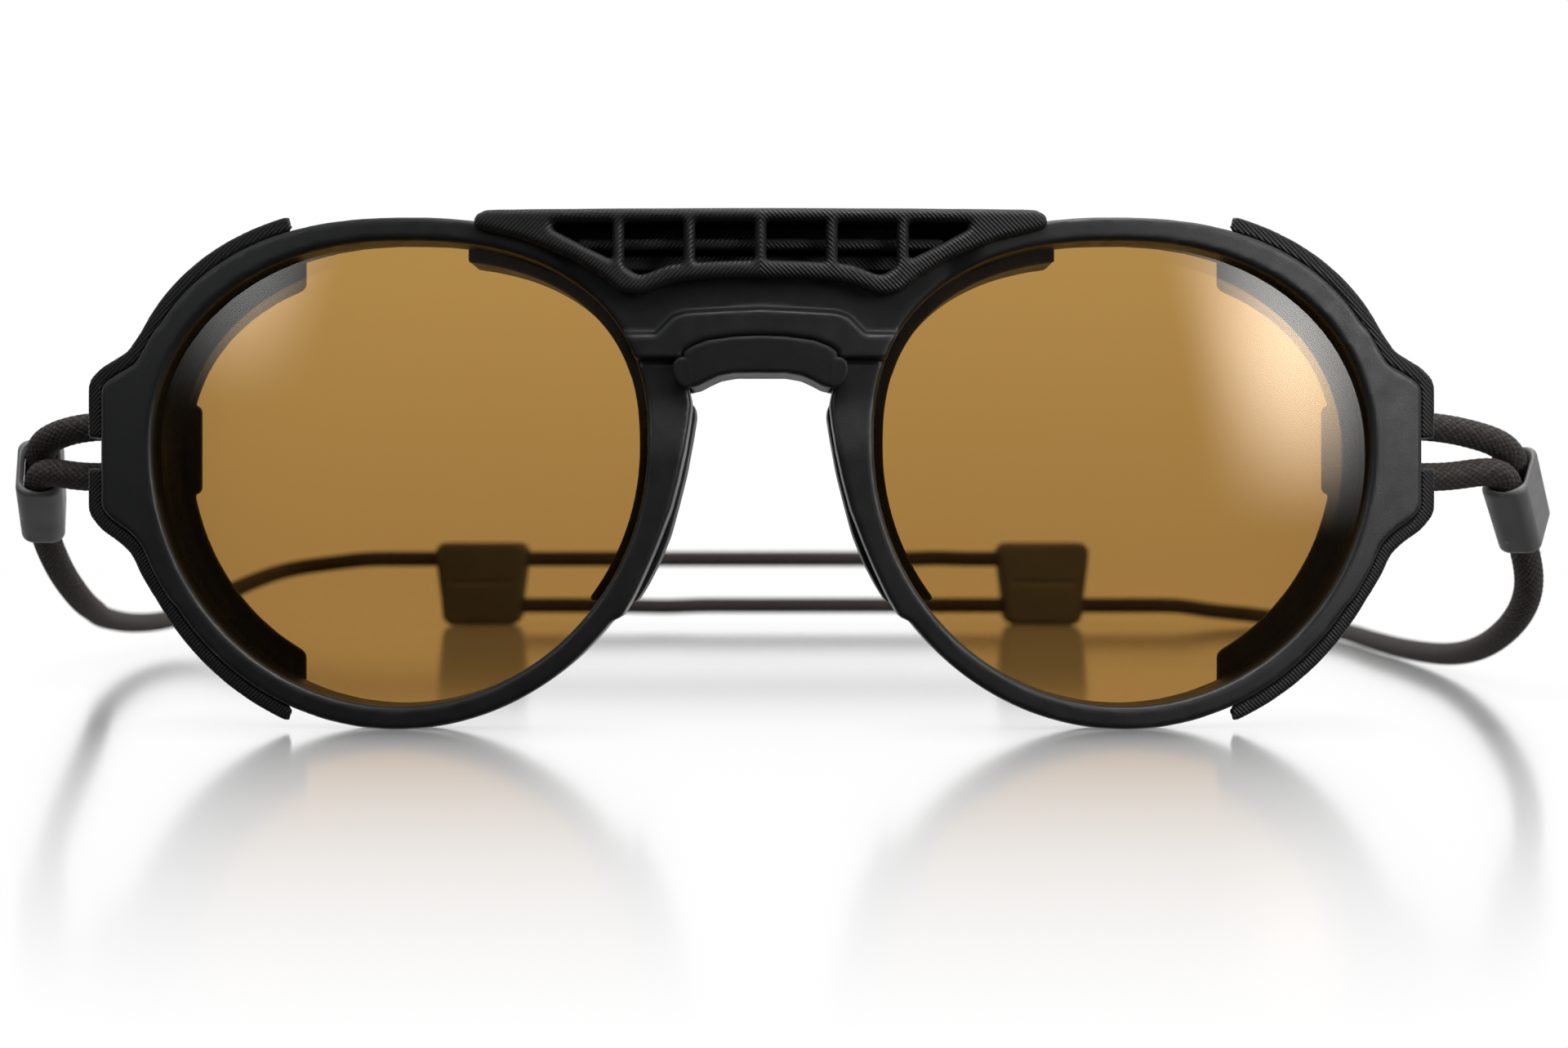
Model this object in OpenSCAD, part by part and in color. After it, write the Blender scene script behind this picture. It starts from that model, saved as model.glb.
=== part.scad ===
// Round glacier sunglasses held by a cord: one frame front, two curved lenses, clip-on
// light shields and a cord loop that two rear sliders make longer or shorter.
// X runs across the face, Y runs back from the lenses, Z is up, and Z = 0 is the table.

/* [Lenses] */
// Distance from the middle plane to a lens centre
lens_x = 39.5; // [38.5:0.5:40.5]
// Height of the widest line of the lens above the table
lens_z = 30.5; // [30:0.1:31]
// Half width of the lens opening
lens_half_w = 27.4; // [26:0.1:28]
// Lens opening above its widest line
lens_up = 22.1; // [21:0.1:22.4]
// Lens opening below its widest line
lens_down = 28.1; // [27:0.1:28.4]
// Radius of the front face of a lens
lens_r = 130; // [110:5:180]
// Lens thickness
lens_t = 2; // [1.6:0.1:2.2]

/* [Frame] */
// Rim width around the lens opening
rim_w = 2.5; // [2.4:0.1:3]
// Thickness of the frame from front to back
frame_t = 4.6; // [4.4:0.1:4.8]
// Radius of the curve of the whole front around the face
wrap_r = 500; // [400:50:900]

/* [Shields] */
// How far the lip of a side shield stands out from the rim
lip_w = 1.7; // [1.4:0.1:1.8]
// Depth of the side shields behind the face of the frame
side_depth = 14; // [10:1:16]
// Depth of the bridge shield behind the face of the frame
bridge_depth = 9; // [7:1:11]
// Distance between the ribs of the bridge vent
rib_pitch = 7.57; // [7:0.1:8]

/* [Cord] */
// Diameter of the braided cord
cord_d = 3.3; // [3:0.1:3.3]
// Distance of the straight rear cords behind the bridge
rear_y = 170; // [168:1:175]
// Height of the rear cord that comes from the left
rear_up_z = 14.4; // [14:0.1:15]
// Height of the rear cord that comes from the right
rear_low_z = 4.2; // [4:0.1:4.6]
// Distance from the middle plane to the rear corner of each cord
corner_x = 96; // [94:1:98]

/* [Fittings] */
// Length of a ferrule
ferrule_len = 10.5; // [10:0.5:11]
// Ferrule size across the two strands
ferrule_w = 5; // [4.9:0.1:5.4]
// Ferrule size along the two strands
ferrule_h = 8.4; // [8.3:0.1:9]
// Slider width, depth and height
slider_size = [20, 7, 18]; // [4:0.5:22]
// Centre of the left slider
slider_left_x = -63.5; // [-66:0.5:-60]
// Centre of the right slider
slider_right_x = 59; // [57:0.5:62]

/* [Hidden] */

left = -1;
right = 1;
gap = 0.06;                         // clearance between pieces that touch
cord_r = cord_d / 2;
cord_sides = 18;                    // flat faces round a curved cord
cup_r = cord_r + 0.1;               // hollow that the ball end of a cord turns in
bore_r = cord_r + 0.09;             // bore that a cord slides in
centre_y = (rear_y + slider_size[1] / 2 - 1.25) / 2;   // middle of the depth of the whole piece
back_d = frame_t + gap;             // depth of the first face behind the frame
plate_d = back_d + 0.85;            // depth of the back of the shield plates

// hook of the cord on the lug of the frame
hook = [70.8, 12.4, 30.4];
hook_turn_r = 2.95;                 // radius of the turn of the cord round the hook
hook_r = 1;
hook_head_r = 2;
hook_head_y = 15;
hinge_at = [80, 14.4];              // upright axis where the strands flex
strand_up_z = 33.1;
strand_low_z = 27.5;
strand_gap = 1.72;                  // from the ferrule axis to each strand

// metal crimps inside the ferrules and on the cord ends, and how deep an end sits in its slider
crimp_len = 4;
crimp_wall = 0.3;
end_crimp_r = 2.35;
end_crimp_len = 5;
blind_len = 14;
slider_lean = 1.5;                  // how far each side of a slider leans in at its foot
left_end_x = slider_right_x - slider_size[0] / 2 + blind_len - 0.5;
right_end_x = slider_left_x + slider_size[0] / 2 - blind_len + 0.5;

// mouth and direction of each ferrule
mouth_left = [85.2, 17.1, 29];
run_left = unit([0.31, 0.74, -0.60]);
mouth_right = [87.8, 16.9, 28.6];
run_right = unit([0.45, 0.53, -0.72]);

// points that each cord passes between its ferrule and its rear corner, for the +X side
side_left = [[90.8, 34, 15.9], [93.9, 46, 11.8], [98.5, 60, 9.4], [104, 76, 7.3],
    [107.8, 95, 5.3], [108.9, 112, 4.8], [108.9, 130, 6.4], [108.4, 148, 9.4],
    [105.2, 166, 12.1]];
side_right = [[94.6, 25.5, 15.2], [96.4, 31, 11.3], [98, 39.5, 7.6], [99.8, 51, 4.5],
    [101.5, 65, 2.6], [103.3, 84, 1.8], [105.3, 102, 1.75], [108, 120, 1.75],
    [108.9, 136, 1.75], [108.4, 152, 1.8], [105.2, 167, 2.2]];

// outline of the lug: points and the way each moves when the outline grows
lug = [[66.2, 43.3, 0.87, 0.5], [67.5, 41.4, 0.8, 0.6], [68.8, 39.7, 0.5, 0.85],
    [71.9, 38, 0.6, 0.8], [72.8, 37.2, 1, 0.3], [72.8, 23.8, 1, -0.3],
    [71.8, 22.7, 0.7, -0.7], [69.4, 21.1, 0.5, -0.85], [67.9, 19.6, 0.7, -0.7],
    [66.6, 17, 0.87, -0.5], [60, 17, 0, 0], [60, 43.3, 0, 0]];

// right half of the bridge and nose wing, from the nose up
nose_edge = [[14.9, 12], [13.6, 14.3], [12.3, 17.2], [10.95, 20.3], [9.65, 23.5],
    [8.8, 26.7], [8.1, 29.9], [7.6, 33], [7.4, 35], [7.7, 36.5]];
saddle_top = [[8.35, 40.4], [7.3, 41.1], [5.7, 41.7], [2.7, 42.1], [0, 42.2]];
bridge_top = [[0, 49.2], [8, 48.7], [12.5, 47.6], [16.6, 48.6], [20, 47], [20, 12]];

// right half of the lip of the bridge shield, clockwise from the top, and of its window
lip_edge = [[0, 55.5], [28, 55.5], [30.2, 55.2], [30.6, 54.5], [30.3, 53.7], [25.3, 52.3],
    [20, 50.2], [16.6, 48.1], [15, 46.7], [13.5, 46.4], [12.3, 46.45], [9.8, 47.4],
    [7.9, 47.8], [4.3, 48.05], [0, 48.1]];
window_edge = [[0, 54.1], [21.9, 54.05], [22, 53.5], [18.4, 51.5], [15, 49.8], [13, 48.55],
    [12.3, 48.6], [9.7, 49.6], [7.9, 49.8], [4.3, 50], [0, 50.1]];

// right half of the saddle and outline of the right nose pad
saddle_edge = [[0, 38.1], [2.7, 38.1], [4.4, 37.8], [5.7, 37.2], [6.6, 36.7], [7.6, 36.5],
    [8.27, 40.35], [7.25, 41.03], [5.67, 41.63], [2.69, 42.03], [0, 42.13]];
ear = [[7.2, 36.4], [8.3, 36.5], [9, 37.1], [9.4, 38.2], [9.3, 39.3], [8.5, 39.9],
    [7.6, 39.6]];
pad_edge = [[13.9, 13.2], [12.6, 15.3], [11.2, 18], [10.1, 20.8], [9.2, 24.1], [8.3, 27.7],
    [7.6, 31.5], [7.2, 34], [7.4, 35.4], [9.4, 35.4], [9.9, 34], [10.1, 31.6],
    [10.5, 28], [11.2, 24.6], [12, 21.4], [13, 18.6], [14.6, 15.6], [15.1, 14]];

function unit(v) = v / norm(v);
function sgn_pow(v, p) = sign(v) * pow(abs(v), p);

// closed oval of the right lens opening, grown by g; its upper corners are a little squarer
function oval(g, outer_n = 2.13, steps = 72) = [for (i = [0:steps - 1])
    let (t = 360 * i / steps, c = cos(t), s = sin(t))
    let (n = s < 0 ? 2 : c > 0 ? outer_n : 2.45)
    [lens_x + (lens_half_w + g) * sgn_pow(c, 2 / n),
     lens_z + ((s < 0 ? lens_down : lens_up) + g) * sgn_pow(s, 2 / n)]];
function grown_lug(g) = [for (p = lug) [p[0] + g * p[2], p[1] + g * p[3]]];
function mirrored(points) = concat(points,
    [for (i = [len(points) - 1:-1:0]) if (points[i][0] > 0) [-points[i][0], points[i][1]]]);

// puts a piece drawn with the bridge at Y = 0 into the frame of the whole object
module placed(side = right) {
    translate([0, -centre_y, 0])
        mirror_if(side == left)
            children();
}

module mirror_if(flip) {
    if (flip)
        mirror([1, 0, 0])
            children();
    else
        children();
}

// an outline across the face, made solid from y0 back to y1
module slab(y0, y1) {
    translate([0, y1, 0])
        rotate([90, 0, 0])
            linear_extrude(y1 - y0)
                children();
}

// an outline across the face, made solid between two depths behind the curved face
module layer(d0, d1) {
    intersection() {
        slab(-4, 26)
            children();
        translate([0, wrap_r, -5])
            difference() {
                cylinder(r = wrap_r - d0, h = 70, $fn = 720);
                translate([0, 0, -1])
                    cylinder(r = wrap_r - d1, h = 72, $fn = 720);
            }
    }
}

// the right lens, grown by g all round
module lens_body(g) {
    turn = asin(lens_x / wrap_r);
    face_y = wrap_r - sqrt(wrap_r * wrap_r - lens_x * lens_x);
    apex = 1.35;
    intersection() {
        slab(-3, 10)
            polygon(oval(0.9 + g));
        translate([lens_x - (lens_r - apex) * sin(turn), face_y + (lens_r - apex) * cos(turn),
            lens_z - (lens_down - lens_up) / 2])
            difference() {
                sphere(r = lens_r + g, $fn = 240);
                sphere(r = lens_r - lens_t - g, $fn = 240);
            }
    }
}

module lens(side) {
    color("darkgoldenrod", 0.6)
        placed(side)
            lens_body(0);
}

// outline of one half of the frame
module half_frame() {
    polygon(oval(rim_w, 2.3));
    polygon(grown_lug(0));
    polygon(concat(nose_edge, saddle_top, bridge_top));
}

// post and head on the back of the lug, which the cord is looped over
module cord_hook() {
    translate([hook[0], hook_head_y, hook[2]])
        rotate([90, 0, 0])
            cylinder(r = hook_r, h = hook_head_y - 9, $fn = 48);
    translate([hook[0], hook_head_y + 0.9, hook[2]])
        rotate([90, 0, 0])
            cylinder(r = hook_head_r, h = 0.95, $fn = 48);
}

module half_front() {
    difference() {
        intersection() {
            layer(0, frame_t)
                half_frame();
            translate([-1, -5, 0])
                cube([90, 40, 70]);
        }
        slab(-5, 25)
            polygon(oval(0));
        lens_body(gap);
    }
    cord_hook();
}

module frame_front() {
    color("dimgray")
        placed() {
            half_front();
            mirror([1, 0, 0])
                half_front();
        }
}

// soft pad on the back of a nose wing
module nose_pad(side) {
    color("black")
        placed(side)
            layer(back_d, 10)
                polygon(pad_edge);
}

// rubber saddle under the bridge, with ears in front and a flange behind
module bridge_saddle() {
    color("black")
        placed() {
            layer(-0.6, 6.5)
                polygon(mirrored(saddle_edge));
            for (flip = [false, true])
                mirror_if(flip) {
                    layer(-0.6, -gap)
                        polygon(ear);
                    layer(back_d, 6.5)
                        polygon(ear);
                }
        }
}

// front lip, vent ribs, roof, back panel and two legs that run down beside the nose
module bridge_shield() {
    color("black")
        placed() {
            difference() {
                layer(-1.2, -gap)
                    polygon(mirrored(lip_edge));
                layer(-2, 1)
                    polygon(mirrored(window_edge));
            }
            for (i = [-2:2])
                layer(-1.1, -gap)
                    translate([i * rib_pitch - 0.65, 48])
                        square([1.3, 6.6]);
            layer(-1.2, bridge_depth)
                translate([-29.8, 54.5])
                    square([59.6, 0.98]);
            // louvre and sill seen through the window
            layer(1, plate_d)
                translate([-19.7, 51.5])
                    square([39.4, 1.2]);
            layer(2.6, plate_d)
                translate([-16.9, 49.45])
                    square([33.8, 1.7]);
            layer(back_d, plate_d)
                polygon(mirrored(lip_edge));
            for (flip = [false, true])
                mirror_if(flip) {
                    leg(back_d, plate_d, 1.4, 13.6);
                    leg(back_d, plate_d, 2.6, 38);
                    leg(plate_d - 0.01, bridge_depth + 1.5, 0, 13.6);
                }
        }
}

// strip that follows the nose side of the lens opening above z0, from d0 back to d1
module leg(d0, d1, outward, z0) {
    layer(d0, d1)
        intersection() {
            difference() {
                polygon(oval(outward));
                polygon(oval(-1.25));
            }
            translate([5, z0])
                square([27.3, 60 - z0]);
        }
}

// outline of the frame on the shield's side, grown by g
module shield_outline(g) {
    polygon(oval(rim_w + g, 2.3));
    polygon(grown_lug(g));
}

// clip-on side shield: lip round the rim, plate behind it and a wall that runs back
module side_shield(side) {
    lip_d = 0.6;
    side_start = 50.6;
    color("black")
        placed(side)
            difference() {
                union() {
                    difference() {
                        layer(lip_d, side_depth)
                            difference() {
                                shield_outline(lip_w);
                                shield_outline(gap);
                            }
                        // wall runs out towards its two ends
                        translate([side_start, 1.4, -5])
                            rotate([0, 0, 45])
                                translate([-20, 0, 0])
                                    cube([70, 30, 80]);
                    }
                    layer(back_d, plate_d)
                        difference() {
                            shield_outline(lip_w);
                            polygon(oval(-2.6));
                        }
                    layer(back_d, plate_d)
                        translate([63, 25.4])
                            square([5, 10]);
                }
                translate([0, -5, -5])
                    cube([side_start, 40, 70]);
                // gap between the two hooks of the lip
                translate([68.5, -5, 28.25])
                    cube([10, 40, 3.3]);
                // room for the cord behind the lip
                translate([68.5, back_d + 4, 24.3])
                    cube([10, 40, 12.4]);
            }
}

// straight piece of cord between two points
module rod(a, b) {
    v = b - a;
    translate(a)
        rotate([0, acos(v[2] / norm(v)), atan2(v[1], v[0])])
            cylinder(r = cord_r, h = norm(v), $fn = 48);
}

// point i + t of a smooth curve through the points
function on_curve(p, i, t) =
    let (a = p[max(i - 1, 0)], b = p[i], c = p[i + 1], d = p[min(i + 2, len(p) - 1)])
    0.5 * (2 * b + t * (c - a) + t * t * (2 * a - 5 * b + 4 * c - d)
        + t * t * t * (3 * b - 3 * c + d - a));
function smooth(p, n) = [for (i = [0:len(p) - 2]) for (k = [0:n - 1]) on_curve(p, i, k / n),
    p[len(p) - 1]];

// ring of points round c, square to the direction t
function ring(c, t, across, r) =
    let (s = unit(cross(across, t)), u = cross(t, s))
    [for (k = [0:cord_sides - 1])
        c + r * (cos(360 * k / cord_sides) * s + sin(360 * k / cord_sides) * u)];

// distance along the cord and radius of each ring of an end, from its tip outwards
function end_rings(kind) = kind == "ball" ? [for (a = [18:18:90]) [-cord_r * cos(a), cord_r * sin(a)]]
    : kind == "cup" ? [for (a = [1:5]) let (w = asin(cord_r / cup_r) * a / 5)
        [cup_r * cos(w), cup_r * sin(w)]]
    : [[0, cord_r]];
function end_tip(kind) = kind == "ball" ? -cord_r : kind == "cup" ? cup_r : 0;

// cord along a smooth row of points; across is a direction that it never runs along
module cord(p, across, first, last) {
    n = len(p);
    t = [for (i = [0:n - 1]) unit(p[min(i + 1, n - 1)] - p[max(i - 1, 0)])];
    head = end_rings(first);
    tail = end_rings(last);
    rings = concat([for (e = head) ring(p[0] + e[0] * t[0], t[0], across, e[1])],
        [for (i = [1:n - 2]) ring(p[i], t[i], across, cord_r)],
        [for (j = [len(tail) - 1:-1:0])
            ring(p[n - 1] - tail[j][0] * t[n - 1], t[n - 1], across, tail[j][1])]);
    m = len(rings);
    polyhedron(
        points = concat([p[0] + end_tip(first) * t[0]], [for (r = rings) each r],
            [p[n - 1] - end_tip(last) * t[n - 1]]),
        faces = concat(
            [for (k = [0:cord_sides - 1]) [0, at_ring(0, k), at_ring(0, k + 1)]],
            [for (i = [0:m - 2]) for (k = [0:cord_sides - 1])
                [at_ring(i, k), at_ring(i + 1, k), at_ring(i + 1, k + 1)]],
            [for (i = [0:m - 2]) for (k = [0:cord_sides - 1])
                [at_ring(i, k), at_ring(i + 1, k + 1), at_ring(i, k + 1)]],
            [for (k = [0:cord_sides - 1])
                [m * cord_sides + 1, at_ring(m - 1, k + 1), at_ring(m - 1, k)]]));
}
function at_ring(i, k) = 1 + i * cord_sides + k % cord_sides;

// turn of the cord round the hook and its two strands as far as the flex axis
module cord_loop(side) {
    turn = [for (a = [90:15:270]) hook + hook_turn_r * [cos(a), 0, sin(a)]];
    up = [hinge_at[0], hinge_at[1], strand_up_z];
    low = [hinge_at[0], hinge_at[1], strand_low_z];
    before = smooth([up, hook + [4.4, 0.2, hook_turn_r], turn[0]], 5);
    after = smooth([turn[len(turn) - 1], hook + [4.4, 0.2, -hook_turn_r], low], 5);
    color("saddlebrown")
        placed(side)
            cord(concat([for (i = [0:9]) before[i]], turn, [for (i = [1:10]) after[i]]),
                [0, 1, 0], "ball", "ball");
}

// across the strands, in the plane that holds them both
function strand_dir(run) = unit([0, 0, 1] - run[2] * run);

// the two strands through the ferrule and the single cord to the rear corner
module cord_side(side, mouth, run, points, rear_z) {
    across = strand_gap * strand_dir(run);
    up = [hinge_at[0], hinge_at[1], strand_up_z];
    low = [hinge_at[0], hinge_at[1], strand_low_z];
    corner = [corner_x, rear_y, rear_z];
    color("saddlebrown")
        placed(side) {
            cord(smooth([up, mouth + across - 2 * run, mouth + across + run,
                mouth + across + 6 * run], 4), [0, 0, 1], "cup", "flat");
            cord(concat(
                smooth([low, mouth - across - 1.5 * run, mouth - across + run,
                    mouth - across + ferrule_len * run], 4),
                smooth(concat([mouth - across + (ferrule_len + 1) * run], points, [corner]), 6)),
                [0, 0, 1], "cup", "ball");
        }
}

// straight rear cord from its corner to the slider it is fixed in
module cord_rear(side, rear_z, end_x) {
    color("saddlebrown")
        placed(side)
            difference() {
                rod([corner_x, rear_y, rear_z], [end_x, rear_y, rear_z]);
                translate([corner_x, rear_y, rear_z])
                    sphere(r = cup_r, $fn = 48);
            }
}

// two round bores side by side with the web between them taken out
module twin_bore(r, len) {
    for (s = [left, right])
        translate([0, s * strand_gap, -0.5])
            cylinder(r = r, h = len + 1, $fn = 32);
    translate([-r, -strand_gap, -0.5])
        cube([2 * r, 2 * strand_gap, len + 1]);
}

// turns a piece drawn along +Z, with its strands along Y, into the ferrule's place
module at_ferrule(mouth, run) {
    v = strand_dir(run);
    u = cross(v, run);
    multmatrix([[u[0], v[0], run[0], mouth[0]], [u[1], v[1], run[1], mouth[1]],
        [u[2], v[2], run[2], mouth[2]]])
        children();
}

// rubber sleeve over both strands, with a pocket for the crimp
module ferrule(side, mouth, run) {
    corner_r = 1.2;
    color("gray")
        placed(side)
            at_ferrule(mouth, run)
                difference() {
                    linear_extrude(ferrule_len)
                        rounded(ferrule_w, ferrule_h, corner_r);
                    twin_bore(bore_r, ferrule_len);
                    // wider mouth, where the strands bend in
                    translate([0, 0, -0.6])
                        twin_bore(bore_r + 0.35, 1);
                    translate([0, 0, 2])
                        twin_bore(bore_r + crimp_wall + gap, crimp_len - 1);
                }
}

// rectangle with round corners, without offset so that its sides stay exact
module rounded(w, h, r) {
    square([w - 2 * r, h], center = true);
    square([w, h - 2 * r], center = true);
    for (x = [left, right], y = [left, right])
        translate([x * (w / 2 - r), y * (h / 2 - r)])
            circle(r = r, $fn = 32);
}

// metal band that holds the two strands together inside the ferrule
module ferrule_crimp(side, mouth, run) {
    color("silver")
        placed(side)
            at_ferrule(mouth, run)
                translate([0, 0, 1.7])
                    difference() {
                        intersection() {
                            twin_bore(bore_r + crimp_wall, crimp_len);
                            translate([-5, -6, 0])
                                cube([10, 12, crimp_len - 0.5]);
                        }
                        twin_bore(bore_r - 0.03, crimp_len);
                    }
}

// rear slider: one cord runs freely through it, the other ends in it
module slider(x, through_z, fixed_z, toward) {
    open_x = x + toward * slider_size[0] / 2;
    color("gray")
        placed()
            difference() {
                translate([x - slider_size[0] / 2, rear_y, slider_size[2] / 2])
                    rotate([0, 90, 0])
                        linear_extrude(slider_size[0])
                            rounded(slider_size[2], slider_size[1], 1.5);
                // sides lean in towards the bottom
                for (flip = [left, right])
                    translate([x + flip * (slider_size[0] / 2 - slider_lean), rear_y, 0])
                        rotate([0, flip * atan(slider_lean / slider_size[2]), 0])
                            translate([flip > 0 ? 0 : -5, -10, -5])
                                cube([5, 20, 40]);
                translate([x - slider_size[0], rear_y, through_z])
                    rotate([0, 90, 0])
                        cylinder(r = bore_r, h = 2 * slider_size[0], $fn = 48);
                translate([open_x + toward, rear_y, fixed_z])
                    rotate([0, -toward * 90, 0])
                        cylinder(r = bore_r, h = blind_len + 1, $fn = 48);
                translate([open_x - toward * (blind_len - end_crimp_len), rear_y, fixed_z])
                    rotate([0, -toward * 90, 0])
                        cylinder(r = end_crimp_r + gap, h = end_crimp_len, $fn = 48);
            }
}

// crimped ring on the end of a cord inside its slider
module cord_end_crimp(x, fixed_z, toward) {
    start_x = x + toward * (slider_size[0] / 2 - blind_len + end_crimp_len - gap);
    color("silver")
        placed()
            translate([start_x, rear_y, fixed_z])
                rotate([0, -toward * 90, 0])
                    difference() {
                        cylinder(r = end_crimp_r, h = end_crimp_len - 2 * gap, $fn = 48);
                        translate([0, 0, -1])
                            cylinder(r = cord_r + 0.03, h = end_crimp_len + 2, $fn = 48);
                    }
}

frame_front();
lens(left);  // lens_left
lens(right);  // lens_right
nose_pad(left);  // nose_pad_left
nose_pad(right);  // nose_pad_right
bridge_saddle();
bridge_shield();
side_shield(left);  // side_shield_left
side_shield(right);  // side_shield_right
cord_loop(left);  // cord_loop_left
cord_loop(right);  // cord_loop_right
cord_side(left, mouth_left, run_left, side_left, rear_up_z);  // cord_side_left
cord_side(right, mouth_right, run_right, side_right, rear_low_z);  // cord_side_right
cord_rear(left, rear_up_z, -left_end_x);  // cord_rear_left
cord_rear(right, rear_low_z, right_end_x);  // cord_rear_right
ferrule(left, mouth_left, run_left);  // ferrule_left
ferrule(right, mouth_right, run_right);  // ferrule_right
ferrule_crimp(left, mouth_left, run_left);  // ferrule_crimp_left
ferrule_crimp(right, mouth_right, run_right);  // ferrule_crimp_right
slider(slider_left_x, rear_up_z, rear_low_z, right);  // slider_left
slider(slider_right_x, rear_low_z, rear_up_z, left);  // slider_right
cord_end_crimp(slider_right_x, rear_up_z, left);  // cord_end_crimp_left
cord_end_crimp(slider_left_x, rear_low_z, right);  // cord_end_crimp_right
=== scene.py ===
import math
import bpy
import numpy as np
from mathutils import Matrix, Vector


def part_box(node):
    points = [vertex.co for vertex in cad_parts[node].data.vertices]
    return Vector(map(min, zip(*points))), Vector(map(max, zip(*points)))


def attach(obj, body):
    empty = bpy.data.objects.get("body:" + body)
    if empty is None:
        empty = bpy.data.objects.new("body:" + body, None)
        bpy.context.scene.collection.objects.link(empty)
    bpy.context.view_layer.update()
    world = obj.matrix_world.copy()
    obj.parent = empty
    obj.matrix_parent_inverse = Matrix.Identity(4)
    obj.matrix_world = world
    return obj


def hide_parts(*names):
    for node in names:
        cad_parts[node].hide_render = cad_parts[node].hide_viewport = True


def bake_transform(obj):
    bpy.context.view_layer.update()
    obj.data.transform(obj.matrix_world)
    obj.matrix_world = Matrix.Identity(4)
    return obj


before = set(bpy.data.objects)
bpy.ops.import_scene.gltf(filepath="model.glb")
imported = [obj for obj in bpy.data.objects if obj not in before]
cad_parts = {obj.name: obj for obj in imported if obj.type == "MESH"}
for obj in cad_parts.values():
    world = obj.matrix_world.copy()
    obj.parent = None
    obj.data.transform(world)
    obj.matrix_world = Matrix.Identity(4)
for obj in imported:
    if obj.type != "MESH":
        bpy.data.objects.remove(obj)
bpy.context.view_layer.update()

# ---------------------------------------------------------------- the shared frame
# Shapes are drawn in millimetres with the front of the bridge at y = 0, as in the CAD, and
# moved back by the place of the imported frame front.
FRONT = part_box("frame_front")
FRONT_Y = FRONT[0][1] * 1000.0
RIM_TOP = FRONT[1][2] * 1000.0

# lens opening: middle, half width, and how far it reaches above and below its widest line
LENS_X, LENS_HALF_W, LENS_UP, LENS_DOWN = 39.5, 27.4, 22.1, 28.1
# rim width, frame thickness, radius of the curve round the face, clearance between pieces
RIM_W, FRAME_T, WRAP_R, GAP = 2.5, 4.6, 500.0, 0.06
LENS_Z = RIM_TOP - RIM_W - LENS_UP
LENS_R, LENS_T = 130.0, 2.0             # front radius and thickness of a lens
LENS_PROUD = 1.35                       # how far its middle stands before the face curve
BACK_D = FRAME_T + GAP                  # depth of the first face behind the frame
PLATE_D = BACK_D + 0.85                 # depth of the back of the shield plates
RIB = 7.57                              # spacing of the ribs of the vent window
LIP_W = 1.7                             # how far the lip of a side shield stands out
SIDE_START, SIDE_DEPTH = 50.6, 14.0     # where a side shield starts, and how deep it is
TAB = (65.6, 30.4)                      # middle of the tab of a side shield
CORD_R = 1.65
BORE_R = CORD_R + 0.1                   # hollow that the end of a cord sits in
SLIDE_R = CORD_R + 0.12                 # bore that a cord runs through
STRAND_GAP = 1.72                       # from the middle of a ferrule to each strand
HOOK = np.array([70.8, 12.4, 30.4])     # where a cord loops over the lug
HOOK_TURN_R = 2.95
HINGE = (80.0, 14.4)                    # upright axis where the strands flex
STRAND_UP_Z, STRAND_LOW_Z = 33.1, 27.5  # heights of the two strands there
FERRULE = (5.0, 8.4, 10.5)              # width, height and length
SLIDER = (20.0, 7.0, 18.0)              # width, depth and height
SLIDER_LEAN = 1.6                       # how far each side leans in at the foot
BLIND_LEN = 13.5                        # how deep the end of a cord sits in a slider
REAR_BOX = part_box("cord_rear_left")
REAR_Y = REAR_BOX[0][1] * 500.0 + REAR_BOX[1][1] * 500.0 - FRONT_Y
REAR_Z = {-1: 14.4, 1: 4.2}             # heights of the left and right cord at the rear
CORNER_X = 96.0                         # where each cord turns to run across at the rear


def signed_power(v, p):
    """v to the power p, with its sign kept."""
    return np.sign(v) * np.abs(v) ** p


def oval(g, outer_n=2.13, steps=180):
    """Outline of the right lens opening grown by g; squarer at its inner top than elsewhere."""
    t = np.linspace(0, 2 * np.pi, steps, endpoint=False)
    c, s = np.cos(t), np.sin(t)
    n = np.where(s < 0, 2.0, np.where(c > 0, outer_n, 2.45))
    x = LENS_X + (LENS_HALF_W + g) * signed_power(c, 2 / n)
    z = LENS_Z + (np.where(s < 0, LENS_DOWN, LENS_UP) + g) * signed_power(s, 2 / n)
    return np.stack([x, z], 1)


def mirrored(points):
    """A whole outline from its right half."""
    back = [(-x, z) for x, z in reversed(points) if x > 0]
    return np.array(list(points) + back)


# outlines seen from the front, in x and z, for the right half
LUG = np.array([(66.2, 43.3), (67.5, 41.4), (68.8, 39.7), (71.9, 38), (72.8, 37.2),
                (72.8, 23.8), (71.8, 22.7), (69.4, 21.1), (67.9, 19.6), (66.8, 17.3),
                (65.75, 15.6), (64.5, 13.8), (60, 13.8), (60, 43.3)])
NOSE = [(14.9, 12), (13.6, 14.3), (12.3, 17.2), (10.95, 20.3), (9.65, 23.5), (8.8, 26.7),
        (8.1, 29.9), (7.6, 33), (7.4, 35), (7.7, 36.5), (8.35, 40.4), (7.3, 41.1),
        (5.7, 41.7), (2.7, 42.1), (0, 42.2)]
BRIDGE_TOP = [(0, 49.2), (8, 48.7), (12.5, 47.6), (16.6, 48.6), (20, 47), (20, 12)]
LIP = [(0, 55.5), (28, 55.5), (30.2, 55.3), (30.7, 54.5), (30.5, 53.6), (25.3, 52.3),
       (20, 50.2), (16.6, 48.1), (15, 46.7), (13.5, 46.4), (12.3, 46.45), (9.8, 47.4),
       (7.9, 47.8), (4.3, 48.05), (0, 48.1)]
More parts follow.
